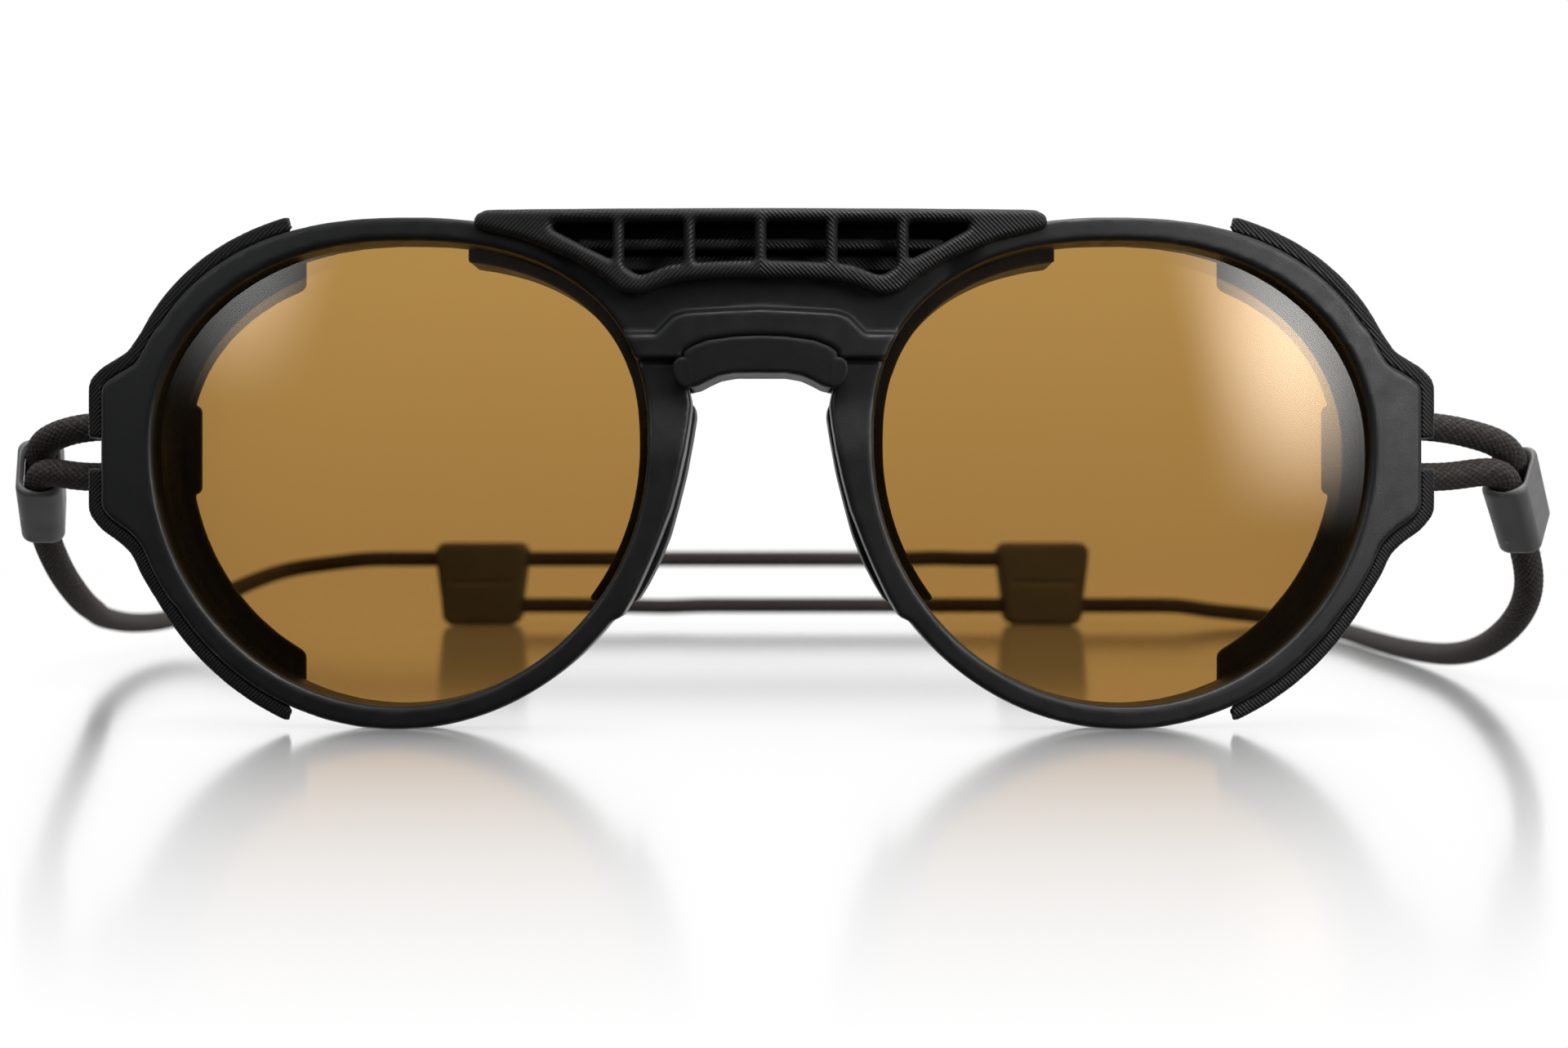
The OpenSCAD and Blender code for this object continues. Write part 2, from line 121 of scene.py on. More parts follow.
WINDOW = [(0, 54.15), (22.1, 54.1), (22.2, 53.5), (18.5, 51.5), (15, 49.8), (13, 48.55),
          (12.3, 48.6), (9.7, 49.6), (7.9, 49.8), (4.3, 50), (0, 50.1)]
SADDLE = [(0, 38.1), (2.7, 38.1), (4.4, 37.8), (5.7, 37.2), (6.6, 36.7), (7.6, 36.5),
          (8.27, 40.35), (7.25, 41.03), (5.67, 41.63), (2.69, 42.03), (0, 42.13)]
EAR = [(7.2, 36.4), (8.3, 36.5), (9, 37.1), (9.4, 38.2), (9.3, 39.3), (8.5, 39.9), (7.6, 39.6)]
PAD = [(13.9, 13.2), (12.6, 15.3), (11.2, 18), (10.1, 20.8), (9.2, 24.1), (8.3, 27.7),
       (7.6, 31.5), (7.2, 34), (7.4, 35.4), (9.4, 35.4), (9.9, 34), (10.1, 31.6), (10.5, 28),
       (11.2, 24.6), (12, 21.4), (13, 18.6), (14.6, 15.6), (15.1, 14)]

# ---------------------------------------------------------------- distance fields
GX0, GZ0, GH, GNX, GNZ = -4.0, -4.0, 0.25, 344, 264     # start, step and size of the grid


def field(poly, soft):
    """Signed distance to an outline on a grid, with its corners softened by soft millimetres."""
    poly = np.asarray(poly, float)
    x = (GX0 + GH * np.arange(GNX))[:, None]
    z = (GZ0 + GH * np.arange(GNZ))[None, :]
    best = np.full((GNX, GNZ), 1e9)
    inside = np.zeros((GNX, GNZ), bool)
    for a, b in zip(poly, np.roll(poly, -1, 0)):
        e = b - a
        t = np.clip(((x - a[0]) * e[0] + (z - a[1]) * e[1]) / (e @ e + 1e-12), 0, 1)
        best = np.minimum(best, (x - a[0] - t * e[0]) ** 2 + (z - a[1] - t * e[1]) ** 2)
        if a[1] != b[1]:
            crosses = (z < a[1]) != (z < b[1])
            inside ^= crosses & (x < a[0] + (z - a[1]) * e[0] / e[1])
    f = np.sqrt(best) * np.where(inside, -1, 1)
    reach = 6
    w = np.exp(-0.5 * (np.arange(-reach, reach + 1) * GH / soft) ** 2)
    w /= w.sum()
    for axis in (0, 1):
        p = np.pad(f, [(reach, reach) if i == axis else (0, 0) for i in (0, 1)], mode="edge")
        n = f.shape[axis]
        f = sum(w[i] * np.take(p, np.arange(i, i + n), axis) for i in range(2 * reach + 1))
    return f


def weights(t):
    """Weights of four neighbours for a smooth curve through them."""
    t2, t3 = t * t, t * t * t
    return (0.5 * (-t + 2 * t2 - t3), 0.5 * (2 - 5 * t2 + 3 * t3),
            0.5 * (t + 4 * t2 - 3 * t3), 0.5 * (t3 - t2))


def look(g, x, z):
    """The value of a field at (|x|, z), smooth between its grid points."""
    u, w = np.broadcast_arrays((np.abs(x) - GX0) / GH, (z - GZ0) / GH)
    u = np.clip(u, 1, GNX - 3.01)
    w = np.clip(w, 1, GNZ - 3.01)
    i, k = u.astype(np.int32), w.astype(np.int32)
    a, b = weights(u - i), weights(w - k)
    return sum(a[m] * b[n] * g[i + m - 1, k + n - 1] for m in range(4) for n in range(4))


def rmax(a, b, r):
    """Intersection with a rounded edge."""
    u, v = np.maximum(r + a, 0), np.maximum(r + b, 0)
    return np.minimum(-r, np.maximum(a, b)) + np.sqrt(u * u + v * v)


def rmin(a, b, r):
    """Union with a filleted corner."""
    return -rmax(-a, -b, r)


def step(v):
    """Smooth rise from 0 to 1 as v goes from 0 to 1."""
    t = np.clip(v, 0, 1)
    return t * t * (3 - 2 * t)


def depth(x, y):
    """Depth behind the curved face of the frame."""
    return WRAP_R - np.sqrt(x * x + (WRAP_R - y) ** 2)


def layer(d, d0, d1):
    """Everything between two depths."""
    return np.maximum(d0 - d, d - d1)


F_OVAL, F_HOLE = field(oval(RIM_W, 2.3), 0.2), field(oval(0.0), 0.1)
F_LUG = field(LUG, 0.45)
BRIDGE = (NOSE + [(-x, z) for x, z in reversed(NOSE[:-1])]
          + [(-x, z) for x, z in reversed(BRIDGE_TOP)] + BRIDGE_TOP[1:])
F_BRIDGE = field(BRIDGE, 0.3)
F_LIP, F_WIN = field(mirrored(LIP), 0.3), field(mirrored(WINDOW), 0.25)
F_SADDLE, F_EAR, F_PAD = field(mirrored(SADDLE), 0.2), field(EAR, 0.25), field(PAD, 0.35)


def nets(f, lo, hi, h, rounds=3):
    """Quads on the zero surface of f, from a grid of cells that are then pulled onto it."""
    n = [int(math.ceil((hi[i] - lo[i]) / h)) + 1 for i in range(3)]
    ax = [lo[i] + h * np.arange(n[i]) for i in range(3)]
    v = f(ax[0][:, None, None], ax[1][None, :, None], ax[2][None, None, :])
    v = np.ascontiguousarray(np.broadcast_to(v, n), dtype=np.float32)
    s = v < 0
    corners = [(i, j, k) for i in (0, 1) for j in (0, 1) for k in (0, 1)]
    count = sum(s[i:n[0] - 1 + i, j:n[1] - 1 + j, k:n[2] - 1 + k].astype(np.int8)
                for i, j, k in corners)
    act = (count > 0) & (count < 8)
    idx = np.argwhere(act)
    ids = np.full(act.shape, -1, np.int64)
    ids[act] = np.arange(len(idx))
    pos, hits = np.zeros((len(idx), 3)), np.zeros(len(idx))
    for a in corners:
        for axis in range(3):
            if a[axis]:
                continue
            b = list(a)
            b[axis] = 1
            va = v[idx[:, 0] + a[0], idx[:, 1] + a[1], idx[:, 2] + a[2]]
            vb = v[idx[:, 0] + b[0], idx[:, 1] + b[1], idx[:, 2] + b[2]]
            m = (va < 0) != (vb < 0)
            t = va[m] / (va[m] - vb[m])
            pos[m] += np.array(a)
            pos[m, axis] += t
            hits[m] += 1
    pos = (pos / hits[:, None] + idx) * h + np.array(lo)
    quads = []
    for axis in range(3):
        p, q = (axis + 1) % 3, (axis + 2) % 3
        s0 = np.take(s, np.arange(n[axis] - 1), axis)
        s1 = np.take(s, np.arange(1, n[axis]), axis)
        e = np.argwhere(s0 != s1)
        e = e[(e[:, p] > 0) & (e[:, q] > 0) & (e[:, p] < n[p] - 1) & (e[:, q] < n[q] - 1)]
        out = s0[e[:, 0], e[:, 1], e[:, 2]]
        ring = []
        for dp, dq in ((-1, -1), (0, -1), (0, 0), (-1, 0)):
            c = e.copy()
            c[:, p] += dp
            c[:, q] += dq
            ring.append(ids[c[:, 0], c[:, 1], c[:, 2]])
        ring = np.stack(ring, 1)
        ring[~out] = ring[~out][:, ::-1]
        quads.append(ring)
    for _ in range(rounds):
        x, y, z = pos.T
        f0, eps = f(x, y, z), 0.04
        g = np.stack([f(x + eps, y, z) - f0, f(x, y + eps, z) - f0, f(x, y, z + eps) - f0], 1)
        g /= eps
        move = -(f0 / np.maximum((g * g).sum(1), 0.2))[:, None] * g
        size = np.linalg.norm(move, axis=1, keepdims=True)
        pos = pos + move * np.minimum(1, 0.5 * h / np.maximum(size, 1e-9))
    return pos, np.concatenate(quads)


# ---------------------------------------------------------------- meshes
def cap(start, n, turn):
    """Quads that close a ring of n points in strips straight across it."""
    return np.array([[start + q, start + n - 1 - q, start + n - 2 - q, start + q + 1][::turn]
                     for q in range(n // 2 - 1)])


def add_mesh(name, co, quads, mat, body, replaces=(), flip=False, sharp=None):
    """A piece from points in millimetres in front coordinates; flip mirrors it to the left."""
    co = np.array(co, float)
    quads = np.array(quads, np.int32)
    if flip:
        co[:, 0] *= -1
        quads = quads[:, ::-1]
    co = (co + np.array([0, FRONT_Y, 0])) / 1000.0
    me = bpy.data.meshes.new(name)
    me.vertices.add(len(co))
    me.vertices.foreach_set("co", co.astype(np.float32).ravel())
    me.loops.add(quads.size)
    me.loops.foreach_set("vertex_index", quads.ravel())
    me.polygons.add(len(quads))
    me.polygons.foreach_set("loop_start", np.arange(0, quads.size, quads.shape[1], dtype=np.int32))
    me.update(calc_edges=True)
    me.validate()
    me.shade_smooth()
    if sharp:
        me.set_sharp_from_angle(angle=math.radians(sharp))
    ob = bpy.data.objects.new(name, me)
    bpy.context.scene.collection.objects.link(ob)
    me.materials.append(mat)
    if body:
        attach(ob, body)
    if replaces:
        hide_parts(*replaces)
    return ob


# ---------------------------------------------------------------- materials
def add_node(tree, kind, inputs=None, **props):
    """A shader node with its inputs set or linked in one line."""
    node = tree.nodes.new("ShaderNode" + kind)
    for key, value in props.items():
        setattr(node, key, value)
    for key, value in (inputs or {}).items():
        socket = node.inputs[key]
        if isinstance(value, bpy.types.NodeSocket):
            tree.links.new(value, socket)
        else:
            socket.default_value = value
    return node


class Nodes:
    """A node material whose nodes are made in one line each."""

    def __init__(self, name):
        self.mat = bpy.data.materials.new(name)
        self.mat.use_nodes = True
        self.tree = self.mat.node_tree
        self.tree.nodes.clear()
        self.out = self.tree.nodes.new("ShaderNodeOutputMaterial")
        self.place = self.add("TexCoord").outputs["Object"]

    def add(self, kind, inputs=None, **props):
        return add_node(self.tree, kind, inputs, **props)

    def noise(self, scale, detail=3.0, rough=0.55, stretch=None):
        v = self.place
        if stretch:
            v = self.add("Mapping", {"Vector": v, "Scale": stretch}).outputs[0]
        return self.add("TexNoise", {"Vector": v, "Scale": scale, "Detail": detail,
                                     "Roughness": rough}).outputs["Fac"]

    def ramp(self, fac, low, high, a, b):
        """fac from low..high turned into a..b, numbers or colours."""
        if isinstance(a, (tuple, list)):
            return self.mix(self.ramp(fac, low, high, 0.0, 1.0), a, b)
        return self.add("MapRange", {0: fac, 1: low, 2: high, 3: a, 4: b}).outputs[0]

    def math(self, op, a, b=0.0):
        return self.add("Math", {0: a, 1: b}, operation=op).outputs[0]

    def mix(self, share, a, b):
        """Colours a and b mixed; either may be an output of another node."""
        node = self.add("Mix", {0: share}, data_type="RGBA")
        for socket, colour in ((node.inputs[6], a), (node.inputs[7], b)):
            if isinstance(colour, bpy.types.NodeSocket):
                self.tree.links.new(colour, socket)
            else:
                socket.default_value = (*colour, 1)
        return node.outputs[2]

    def bump(self, height, mm, strength=1.0, normal=None):
        given = {"Height": height, "Distance": mm / 1000.0, "Strength": strength}
        if normal:
            given["Normal"] = normal
        return self.add("Bump", given).outputs[0]

    def surface(self, **inputs):
        shader = self.add("BsdfPrincipled", {k.replace("_", " "): v for k, v in inputs.items()})
        self.tree.links.new(shader.outputs[0], self.out.inputs[0])
        return self.mat


def moulded(name, dark, light, rough, grain_mm, grain_high, specular=0.5, ribbed=None):
    """Moulded plastic or rubber: fine spark-eroded grain, faint flow marks, rubbed patches, and a
    painted highlight along its sharp edges.

    The grain is grain_mm wide and grain_high millimetres high; ribbed is the spacing of ribs.
    """
    m = Nodes(name)
    grain = m.noise(1000.0 / grain_mm, 2.0, 0.6)
    flow = m.noise(90.0, 4.0, 0.6)
    rub = m.noise(420.0, 5.0, 0.65)
    base = m.ramp(m.math("ADD", m.math("MULTIPLY", flow, 0.6), m.math("MULTIPLY", grain, 0.4)),
                  0.3, 0.7, dark, light)
    edge = m.add("NewGeometry").outputs["Pointiness"]
    # painted highlight: the colour turns lighter along sharp edges, where pointiness is high
    colour_with_painted_edge_highlight = m.mix(m.ramp(edge, 0.52, 0.62, 0.0, 0.35), base,
                 [min(1, 2.2 * c + 0.01) for c in light])
    normal = m.bump(grain, grain_high)
    normal = m.bump(rub, grain_high * 0.8, 0.6, normal)
    if ribbed:
        # fine diagonal ribs, only on faces turned to the front
        split = m.add("SeparateXYZ", {0: m.place})
        along = m.math("ADD", split.outputs["Z"], m.math("ABSOLUTE", split.outputs["X"]))
        wave = m.math("SINE", m.math("MULTIPLY", along, 2 * math.pi * 1000 / (ribbed * 1.414)))
        turned = m.add("SeparateXYZ", {0: m.add("NewGeometry").outputs["Normal"]}).outputs["Y"]
        front = m.ramp(turned, -0.85, -0.45, 0.5, 0.0)
        normal = m.bump(m.math("MULTIPLY", wave, front), 0.06, 1.0, normal)
    roughness = m.math("ADD", m.ramp(rub, 0.3, 0.7, rough - 0.07, rough + 0.07),
                       m.ramp(edge, 0.52, 0.62, 0.0, -0.08))
    return m.surface(Base_Color=colour_with_painted_edge_highlight, Roughness=roughness, Normal=normal,
                     Specular_IOR_Level=specular)


def braid_material():
    """Braided cord: yarns of slightly different browns, painted shade in the creases between them,
    loose pale fibres.
    """
    m = Nodes("cord_braid")
    high = m.add("Attribute", attribute_name="braid").outputs["Fac"]
    tone = m.add("Attribute", attribute_name="yarn_tone").outputs["Fac"]
    run = m.add("Attribute", attribute_name="fibre").outputs["Fac"]
    fibre = m.math("SINE", m.math("MULTIPLY", run, 2 * math.pi * 4))
    fuzz = m.noise(9000.0, 3.0, 0.7)
    light = m.ramp(tone, 0.0, 1.0, (0.040, 0.030, 0.026), (0.080, 0.061, 0.053))
    # painted shade: the colour goes near black where the yarns sink into the creases between them
    yarn = m.mix(m.ramp(high, 0.25, 0.85, 0.0, 1.0), (0.006, 0.005, 0.0045), light)
    speck = m.mix(m.ramp(fuzz, 0.62, 0.8, 0.0, 0.35), yarn, (0.16, 0.135, 0.115))
    normal = m.bump(fibre, 0.025)
    normal = m.bump(fuzz, 0.03, 0.8, normal)
    return m.surface(Base_Color=speck, Roughness=m.ramp(fuzz, 0.3, 0.7, 0.7, 0.9),
                     Normal=normal, Sheen_Weight=0.12, Sheen_Roughness=0.4,
                     Specular_IOR_Level=0.3)


def metal_material():
    """Pressed metal with faint drawing lines."""
    m = Nodes("crimp_metal")
    brush = m.noise(3000.0, 3.0, 0.6, stretch=(1, 12, 12))
    return m.surface(Base_Color=m.ramp(brush, 0.3, 0.7, (0.55, 0.54, 0.52), (0.72, 0.71, 0.69)),
                     Metallic=1.0, Roughness=m.ramp(brush, 0.3, 0.7, 0.28, 0.42),
                     Normal=m.bump(brush, 0.01))


def lens_material():
    """Amber sun lens: tinted straight-through light under a hard, clear, faintly smeared coat."""
    m = Nodes("lens_amber")
    smear = m.noise(140.0, 4.0, 0.6, stretch=(1, 1, 0.35))
    height = m.add("SeparateXYZ", {0: m.place}).outputs["Z"]
    shade = m.ramp(height, 0.018, 0.052, (0.608, 0.447, 0.232), (0.676, 0.508, 0.264))
    tint = m.add("BsdfTransparent", {"Color": shade})
    coat = m.add("BsdfGlossy", {"Color": (1, 0.98, 0.95, 1),
                                "Roughness": m.ramp(smear, 0.35, 0.75, 0.015, 0.06)})
    fresnel = m.math("MULTIPLY", m.add("Fresnel", {"IOR": 1.58}).outputs[0], 0.72)
    both = m.add("MixShader", {0: fresnel, 1: tint.outputs[0], 2: coat.outputs[0]})
    haze = m.add("BsdfDiffuse", {"Color": (0.75, 0.6, 0.38, 1)})
    share = m.ramp(smear, 0.3, 0.8, 0.002, 0.012)
    final = m.add("MixShader", {0: share, 1: both.outputs[0], 2: haze.outputs[0]})
    m.tree.links.new(final.outputs[0], m.out.inputs[0])
    return m.mat


NYLON = moulded("frame_nylon", (0.009, 0.009, 0.009), (0.014, 0.014, 0.014), 0.44, 0.16, 0.015)
RIBBED = moulded("shield_rubber", (0.010, 0.010, 0.010), (0.014, 0.014, 0.014), 0.48, 0.14,
                 0.003, 0.34, ribbed=0.36)
SOFT = moulded("nose_rubber", (0.006, 0.006, 0.006), (0.010, 0.010, 0.010), 0.55, 0.2, 0.012, 0.28)
SLEEVE = moulded("ferrule_rubber", (0.125, 0.125, 0.127), (0.155, 0.155, 0.157), 0.55, 0.18, 0.012)
TOGGLE = moulded("slider_rubber", (0.075, 0.075, 0.076), (0.1, 0.1, 0.101), 0.55, 0.18, 0.012)
BRAID, METAL, AMBER = braid_material(), metal_material(), lens_material()


# ---------------------------------------------------------------- frame front
# top edge of the raised block of the bridge
RIDGE_X = [0, 4.28, 7.93, 9.15, 9.5, 11.24, 30]
RIDGE_Z = [44.68, 44.5, 44.29, 43.94, 43.77, 42.03, 42.03]


def relief(x, z):
    """How far the face lies behind the curve: the bridge block stands proud of what is round it."""
    a = np.abs(x)
    above = 0.75 * step((z - np.interp(a, RIDGE_X, RIDGE_Z)) / 0.8) * (1 - step((a - 20) / 4))
    below = 0.9 * step((39.85 - z) / 0.25) * step((z - 29) / 7) * (1 - step((a - 16) / 2))
    groove = 0.45 * np.exp(-((z - 39.55) / 0.22) ** 2) * (1 - step((a - 13.5) / 1))
    return above + below + groove


def outer_side(x, z):
    """Outline of a rim with its lug."""
    return rmin(look(F_OVAL, x, z), look(F_LUG, x, z), 0.9)


# middle of the sphere of the right lens, which is turned along with the face curve
LENS_TURN = math.asin(LENS_X / WRAP_R)
LENS_FACE_Y = WRAP_R - math.sqrt(WRAP_R ** 2 - LENS_X ** 2)
LENS_C = (LENS_X - (LENS_R - LENS_PROUD) * math.sin(LENS_TURN),
          LENS_FACE_Y + (LENS_R - LENS_PROUD) * math.cos(LENS_TURN),
          LENS_Z - (LENS_DOWN - LENS_UP) / 2)


def round_post(x, y, z, r, y0, y1, edge):
    """A post along Y at the hook."""
    q = np.sqrt((np.abs(x) - HOOK[0]) ** 2 + (z - HOOK[2]) ** 2) - r
    return rmax(q, np.maximum(y0 - y, y - y1), edge)


def frame_front(x, y, z):
    """Rims, bridge and lugs in one piece, with a hook behind each lug."""
    d = depth(x, y)
    outer = rmin(outer_side(x, z), look(F_BRIDGE, x, z), 0.7)
    hole = look(F_HOLE, x, z)
    face = relief(x, z) - d
    f = rmax(outer, np.maximum(face, d - FRAME_T), 0.5)
    # lens openings, with a rounder edge at the front
    f = np.maximum(f, np.maximum(rmax(-hole, face, 0.6), rmax(-hole, d - FRAME_T, 0.35)))
    f = rmin(f, round_post(x, y, z, 1.0, 6.0, 15.0, 0.1), 0.5)
    return rmin(f, round_post(x, y, z, 2.0, 14.95, 15.9, 0.4), 0.2)


co, quads = nets(frame_front, (-74.5, -0.6, -0.8), (74.5, 16.6, 56.2), 0.34)
add_mesh("frame_body", co, quads, NYLON, "frame", ["frame_front"])


# ---------------------------------------------------------------- lenses
def lens(side, name):
    """A curved lens: rings of points on its two faces, a band round its edge, two caps."""
    edge = oval(0.1)
    mid = np.array([LENS_X, LENS_Z])
    rings, smallest = 24, 0.004
    n = len(edge)
    co = []
    for r in (LENS_R, LENS_R - LENS_T):
        for i in range(rings + 1):
            p = mid + (edge - mid) * max(smallest, i / rings)
            y = LENS_C[1] - np.sqrt(r * r - (p[:, 0] - LENS_C[0]) ** 2 - (p[:, 1] - LENS_C[2]) ** 2)
            co.append(np.stack([p[:, 0], y, p[:, 1]], 1))
    k = np.arange(n)
    k1 = (k + 1) % n
    back = (rings + 1) * n
    faces = []
    for i in range(rings):
        inner, outer = i * n, (i + 1) * n
        faces.append(np.stack([inner + k, inner + k1, outer + k1, outer + k], 1))
        inner, outer = back + inner, back + outer
        faces.append(np.stack([inner + k1, inner + k, outer + k, outer + k1], 1))
    a, b = rings * n, back + rings * n
    faces.append(np.stack([a + k, a + k1, b + k1, b + k], 1))
    faces += [cap(0, n, 1), cap(back, n, -1)]
    return add_mesh(name, np.concatenate(co), np.concatenate(faces)[:, ::-1], AMBER, "frame",
                    ["lens_" + ("left" if side < 0 else "right")], side < 0, 35)


lens(-1, "sun_lens_left")
lens(1, "sun_lens_right")


# ---------------------------------------------------------------- shields, saddle and pads
def bridge_guard(x, y, z):
    """Cap over the bridge: lip with a ribbed window, roof, louvres, back plate and two legs."""
    d = depth(x, y)
    a = np.abs(x)
    lip, win, hole = look(F_LIP, x, z), look(F_WIN, x, z), look(F_HOLE, x, z)
    rib = np.abs((x / RIB + 0.5) % 1 - 0.5) * RIB - 0.65
    open_part = rmax(win, -np.where(a < 2.5 * RIB, rib, 9.0), 0.35)
    band = np.maximum(lip, -open_part)
    f = rmax(rmax(band, -1.25 - d, 0.85), d + GAP, 0.15)
    roof = rmax(np.abs(z - 54.99) - 0.51, a - 29.6, 0.4)
    f = rmin(f, rmax(roof, layer(d, -0.9, 9.0), 0.4), 0.35)
    plate = rmax(lip, layer(d, BACK_D, PLATE_D), 0.3)
    f = rmin(f, plate, 0.2)
    rail = rmax(np.abs(z - 52.1) - 0.62, a - 19.7, 0.3)
    f = rmin(f, rmax(rail, layer(d, 0.9, PLATE_D), 0.45), 0.1)
    sill = rmax(np.abs(z - 50.3) - 0.85, a - 16.9, 0.3)
    f = rmin(f, rmax(sill, layer(d, 2.6, PLATE_D), 0.3), 0.1)
    # legs beside the nose: a flange behind the rim, wider above, and a wall that runs back
    room = np.maximum(-(hole + 1.25), np.maximum(5.0 - a, a - 32.3))
    for out, z0, d0, d1 in ((1.4, 13.6, BACK_D, PLATE_D), (2.6, 38.0, BACK_D, PLATE_D),
                            (0.0, 13.6, PLATE_D - 0.3, 10.5)):
        leg = rmax(rmax(hole - out, z0 - z, 0.6), room, 0.7)
        f = rmin(f, rmax(np.maximum(leg, z - 56), layer(d, d0, d1), 0.3), 0.15)
    return f


co, quads = nets(bridge_guard, (-33.2, -2.6, 12.8), (33.2, 13.0, 56.4), 0.3)
add_mesh("bridge_guard_shell", co, quads, RIBBED, "bridge_guard",
         ["bridge_shield"])


def side_guard(x, y, z):
    """Side shield: lip round the rim, wall that runs back, flange and tab behind the lens."""
    d = depth(x, y)
    a = outer_side(x, z)
    hole = look(F_HOLE, x, z)
    # the wall gets shallower towards its two ends
    back = np.maximum(d - SIDE_DEPTH, (y - 3.0 - (x - SIDE_START)) * 0.707)
    f = rmax(np.maximum(a - LIP_W, GAP - a), np.maximum(0.55 - d, back), 0.32)
    flange = np.maximum(a + 0.5 - 2.1 * step((x - SIDE_START) / 6), -(hole + 2.6))
    f = rmin(f, rmax(flange, layer(d, BACK_D, PLATE_D), 0.3), 0.4)
    tab = rmax(np.abs(x - TAB[0]) - 2.6, np.abs(z - TAB[1]) - 5.0, 0.8)
    f = rmin(f, rmax(tab, layer(d, BACK_D, PLATE_D), 0.3), 0.2)
    # ends, leaning across the lip
    end = SIDE_START - 0.8 * step((a + 0.6) / 0.6) + 0.75 * np.clip(a, 0, 2)
    f = rmax(f, end - x, 0.9)
    # gap between the two hooks of the lip, and room for the cord behind it
    f = rmax(f, -rmax(np.abs(z - 29.9) - 1.65, 68.5 - x, 0.3), 0.4)
    room = np.maximum(68.5 - x, BACK_D + 4 - y)
    return rmax(f, -rmax(np.abs(z - 30.5) - 6.2, room, 0.5), 0.4)


co, quads = nets(side_guard, (48.8, 0.2, -2.0), (75.6, 22.0, 57.4), 0.32)
for side, word in ((-1, "left"), (1, "right")):
    add_mesh("side_guard_shell_" + word, co, quads, RIBBED, "side_guard_" + word,
             ["side_shield_" + word], side < 0)


def saddle(x, y, z):
    """Soft pad at the top of the nose opening, with an ear each side."""
    d = depth(x, y)
    body, ear = look(F_SADDLE, x, z), look(F_EAR, x, z)
    f = rmax(body, layer(d, -0.62, 6.5), 0.45)
    f = rmin(f, rmax(ear, layer(d, -0.62, -GAP), 0.25), 0.15)
    return rmin(f, rmax(ear, layer(d, BACK_D, 6.5), 0.45), 0.15)


co, quads = nets(saddle, (-10.2, -1.4, 35.6), (10.2, 7.4, 43.0), 0.2)
add_mesh("nose_saddle", co, quads, SOFT, "frame", ["bridge_saddle"])


def pad(x, y, z):
    """Soft pad behind a nose wing."""
    d = depth(x, y)
    return rmax(rmax(look(F_PAD, x, z), d - 9.95, 1.1), BACK_D - d, 0.3)


co, quads = nets(pad, (6.2, 3.6, 12.2), (16.2, 11.4, 36.6), 0.22)
for side, word in ((-1, "left"), (1, "right")):
    add_mesh("soft_pad_" + word, co, quads, SOFT, "frame", ["nose_pad_" + word],
             side < 0)


# ---------------------------------------------------------------- cord paths
def unit(v):
    v = np.array(v, float)
    return v / np.linalg.norm(v)


def smooth(points, n):
    """A curve through points, with n steps from each point to the next."""
    p = np.array(points, float)
    out = []
    for i in range(len(p) - 1):
        a, b = p[max(i - 1, 0)], p[i]
        c, d = p[i + 1], p[min(i + 2, len(p) - 1)]
        for t in np.arange(n) / n:
            out.append(0.5 * (2 * b + t * (c - a) + t * t * (2 * a - 5 * b + 4 * c - d)
                              + t ** 3 * (3 * b - 3 * c + d - a)))
    return np.array(out + [p[-1]])


# mouth and direction of each ferrule, and the points that each cord passes on its way back
SIDES = {
    -1: dict(word="left", mouth=np.array([85.2, 17.1, 29.0]), run=unit([0.31, 0.74, -0.60]),
             way=[[90.8, 34, 15.9], [93.9, 46, 11.8], [98.5, 60, 9.4], [104, 76, 7.3],
                  [107.8, 95, 5.3], [108.9, 112, 4.8], [108.9, 130, 6.4], [108.4, 148, 9.4],
                  [105.2, 166, 12.1]]),
    1: dict(word="right", mouth=np.array([87.8, 16.9, 28.6]), run=unit([0.45, 0.53, -0.72]),
            way=[[94.6, 25.5, 15.2], [96.4, 31, 11.3], [98, 39.5, 7.6], [99.8, 51, 4.5],
                 [101.5, 65, 2.6], [103.3, 84, 1.8], [105.3, 102, 1.75], [108, 120, 1.75],
                 [108.9, 136, 1.75], [108.4, 152, 1.8], [105.2, 167, 2.2]]),
}
for s in SIDES.values():
    s["across"] = STRAND_GAP * unit(np.array([0, 0, 1]) - s["run"][2] * s["run"])

SLIDER_X = {word: (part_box("slider_" + word)[0][0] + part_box("slider_" + word)[1][0]) * 500.0
            for word in ("left", "right")}
REAR_END = {-1: -(SLIDER_X["right"] - SLIDER[0] / 2 + BLIND_LEN),
            1: SLIDER_X["left"] + SLIDER[0] / 2 - BLIND_LEN}


def strand_path(s):
    """From the ferrule, forward over the hook and back to the ferrule."""
    m, r, a = s["mouth"], s["run"], s["across"]
    up, low = np.array([*HINGE, STRAND_UP_Z]), np.array([*HINGE, STRAND_LOW_Z])
    turn = [HOOK + HOOK_TURN_R * np.array([math.cos(t), 0, math.sin(t)])
            for t in np.radians(np.arange(90, 271, 15))]
    first = smooth([up, m + a - 2 * r, m + a + r, m + a + 6 * r], 8)[::-1]
    before = smooth([up, HOOK + [4.4, 0.2, HOOK_TURN_R], turn[0]], 6)[1:]
    after = smooth([turn[-1], HOOK + [4.4, 0.2, -HOOK_TURN_R], low], 6)[1:]
    last = smooth([low, m - a - 1.5 * r, m - a + r, m - a + 5 * r], 8)[1:]
    return np.concatenate([first, before, turn[1:], after, last])


